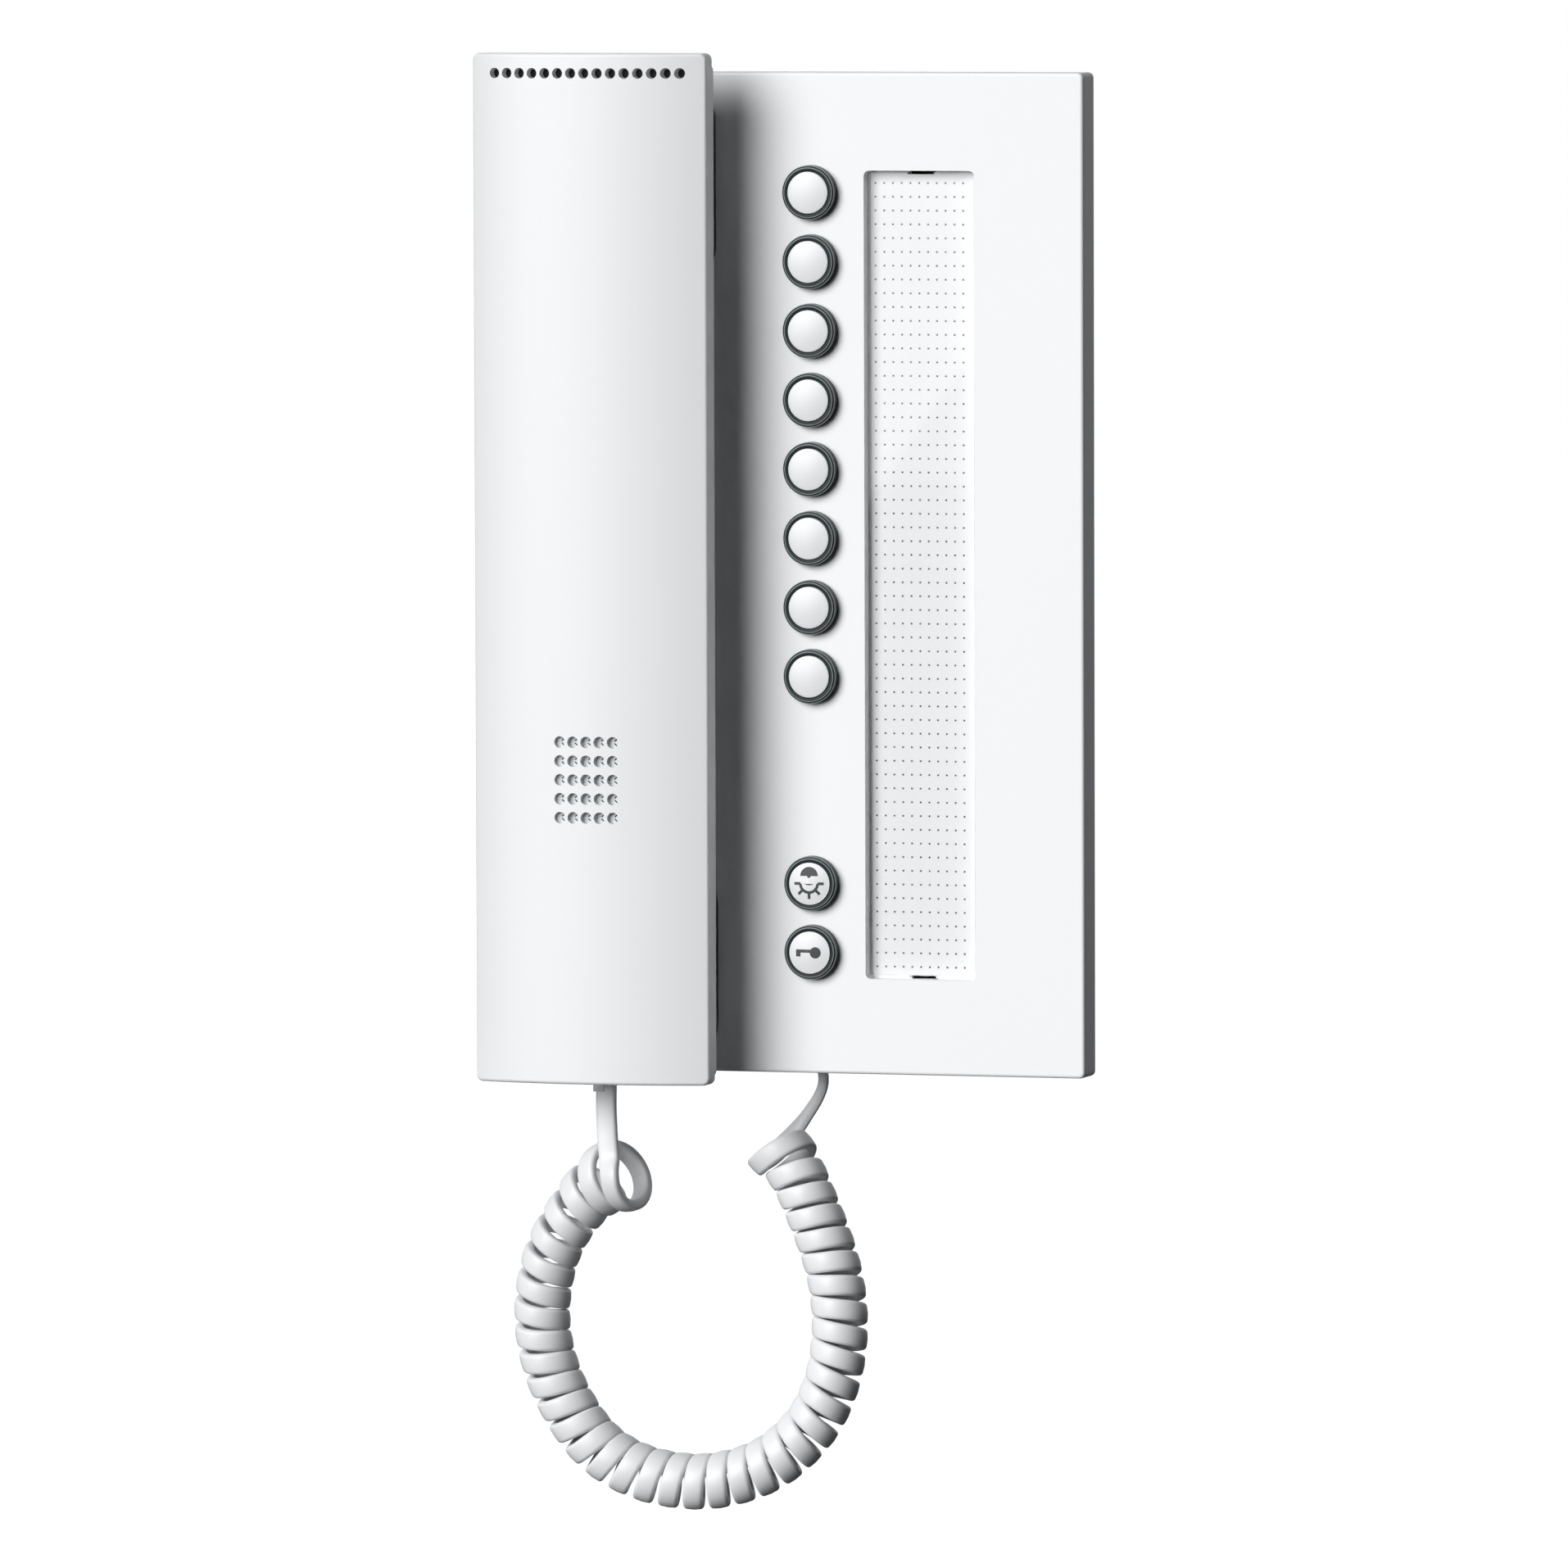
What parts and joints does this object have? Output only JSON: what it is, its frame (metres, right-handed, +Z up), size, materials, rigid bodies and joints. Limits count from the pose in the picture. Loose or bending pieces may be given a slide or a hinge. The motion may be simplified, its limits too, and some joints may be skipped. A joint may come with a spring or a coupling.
{
  "type": "audio intercom handset",
  "caption": "Wall intercom: slim base with round call, light and door buttons beside a long name strip, crowned handset over its left half, and a curly cord hanging in a loop below.",
  "frame": {"origin": "middle of the wall plate's back face, on the wall", "axes": "+X right, +Y into the wall, +Z up; the viewer stands on the -Y side"},
  "size_m": [0.132, 0.0475, 0.3189],
  "materials": {
    "white_shell": "fine-grained matte",
    "inner_plastic": "matte",
    "board": "satin solder mask",
    "steel": "plain",
    "black_plastic": "matte",
    "aluminium": "plain",
    "paper": "paper",
    "clear": "polished clear plastic",
    "dark_print": "matte",
    "rubber": "matte",
    "clear_plug": "gloss",
    "cord": "gloss",
    "white_cap": "satin",
    "dark_ring": "gloss"
  },
  "bodies": {
    "base": {"front_cover": "white_shell", "back_housing": "white_shell", "wall_plate": "inner_plastic", "main_board": "board", "board_screws": "steel", "cover_screws": "steel", "button_switches": "black_plastic", "terminal_block": "inner_plastic", "relay": "black_plastic", "capacitors": "aluminium", "name_strip": "paper", "strip_cover": "clear", "hook_spring": "steel", "hook_switch": "black_plastic", "base_socket": "black_plastic", "base_plug": "clear_plug", "cord_handset_lead": "cord", "cord_base_lead": "cord", "cord_coil": "cord", "call_ring_1": "dark_ring", "call_ring_2": "dark_ring", "call_ring_3": "dark_ring", "call_ring_4": "dark_ring", "call_ring_5": "dark_ring", "call_ring_6": "dark_ring", "call_ring_7": "dark_ring", "call_ring_8": "dark_ring", "light_ring": "dark_ring", "door_ring": "dark_ring"},
    "handset": {"handset_front_shell": "white_shell", "handset_back_shell": "white_shell", "handset_screws": "steel", "earpiece": "black_plastic", "earpiece_seal": "rubber", "microphone": "aluminium", "microphone_boot": "rubber", "handset_board": "board", "call_buzzer": "black_plastic", "handset_weight": "steel", "handset_socket": "black_plastic", "handset_plug": "clear_plug"},
    "hook_plunger": {"hook_plunger": "white_shell"},
    "call_button_1": {"call_button_1": "white_cap"},
    "call_button_2": {"call_button_2": "white_cap"},
    "call_button_3": {"call_button_3": "white_cap"},
    "call_button_4": {"call_button_4": "white_cap"},
    "call_button_5": {"call_button_5": "white_cap"},
    "call_button_6": {"call_button_6": "white_cap"},
    "call_button_7": {"call_button_7": "white_cap"},
    "call_button_8": {"call_button_8": "white_cap"},
    "light_button": {"light_button": "white_cap", "light_symbol": "dark_print"},
    "door_button": {"door_button": "white_cap", "door_symbol": "dark_print"}
  },
  "joints": [
    {"name": "handset_lift", "type": "slide", "parent": "base", "child": "handset", "axis": [0, -1, 0], "range_m": [0, 0.06]},
    {"name": "hook_rise", "type": "slide", "parent": "base", "child": "hook_plunger", "axis": [0, -1, 0], "range_m": [0, 0.003], "deforming": ["hook_spring"]},
    {"name": "call_press_1", "type": "slide", "parent": "base", "child": "call_button_1", "axis": [0, 1, 0], "range_m": [0, 0.0008], "stiffness_N_per_m": 800, "springref_m": -0.0006},
    {"name": "call_press_2", "type": "slide", "parent": "base", "child": "call_button_2", "axis": [0, 1, 0], "range_m": [0, 0.0008], "stiffness_N_per_m": 800, "springref_m": -0.0006},
    {"name": "call_press_3", "type": "slide", "parent": "base", "child": "call_button_3", "axis": [0, 1, 0], "range_m": [0, 0.0008], "stiffness_N_per_m": 800, "springref_m": -0.0006},
    {"name": "call_press_4", "type": "slide", "parent": "base", "child": "call_button_4", "axis": [0, 1, 0], "range_m": [0, 0.0008], "stiffness_N_per_m": 800, "springref_m": -0.0006},
    {"name": "call_press_5", "type": "slide", "parent": "base", "child": "call_button_5", "axis": [0, 1, 0], "range_m": [0, 0.0008], "stiffness_N_per_m": 800, "springref_m": -0.0006},
    {"name": "call_press_6", "type": "slide", "parent": "base", "child": "call_button_6", "axis": [0, 1, 0], "range_m": [0, 0.0008], "stiffness_N_per_m": 800, "springref_m": -0.0006},
    {"name": "call_press_7", "type": "slide", "parent": "base", "child": "call_button_7", "axis": [0, 1, 0], "range_m": [0, 0.0008], "stiffness_N_per_m": 800, "springref_m": -0.0006},
    {"name": "call_press_8", "type": "slide", "parent": "base", "child": "call_button_8", "axis": [0, 1, 0], "range_m": [0, 0.0008], "stiffness_N_per_m": 800, "springref_m": -0.0006},
    {"name": "light_press", "type": "slide", "parent": "base", "child": "light_button", "axis": [0, 1, 0], "range_m": [0, 0.0008], "stiffness_N_per_m": 800, "springref_m": -0.0006},
    {"name": "door_press", "type": "slide", "parent": "base", "child": "door_button", "axis": [0, 1, 0], "range_m": [0, 0.0008], "stiffness_N_per_m": 800, "springref_m": -0.0006}
  ],
  "couplings": [
    {"joint": "hook_rise", "follows": "handset_lift", "ratio": 0.05}
  ]
}
